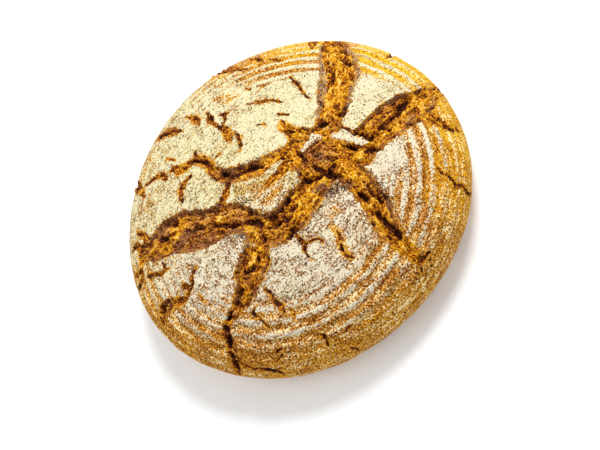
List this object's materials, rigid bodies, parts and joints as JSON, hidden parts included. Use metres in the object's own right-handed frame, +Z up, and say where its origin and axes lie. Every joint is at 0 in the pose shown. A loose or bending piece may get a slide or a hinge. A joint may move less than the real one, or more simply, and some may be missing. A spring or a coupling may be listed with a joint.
{
  "type": "farmhouse loaf",
  "caption": "Round rustic farmhouse loaf, whole and uncut: a low crown with a star of wide tears, narrow cracks and low basket ridges in its crust, on a flat base.",
  "frame": {"origin": "centre of the loaf's plan, on the plane of its flat base", "axes": "+Z up through the crown; +X towards the wide east tear, with the south tear running towards -Y"},
  "size_m": [0.2711, 0.2694, 0.0777],
  "materials": {
    "crust": null
  },
  "bodies": {
    "root": {"loaf": "crust"}
  },
  "joints": []
}
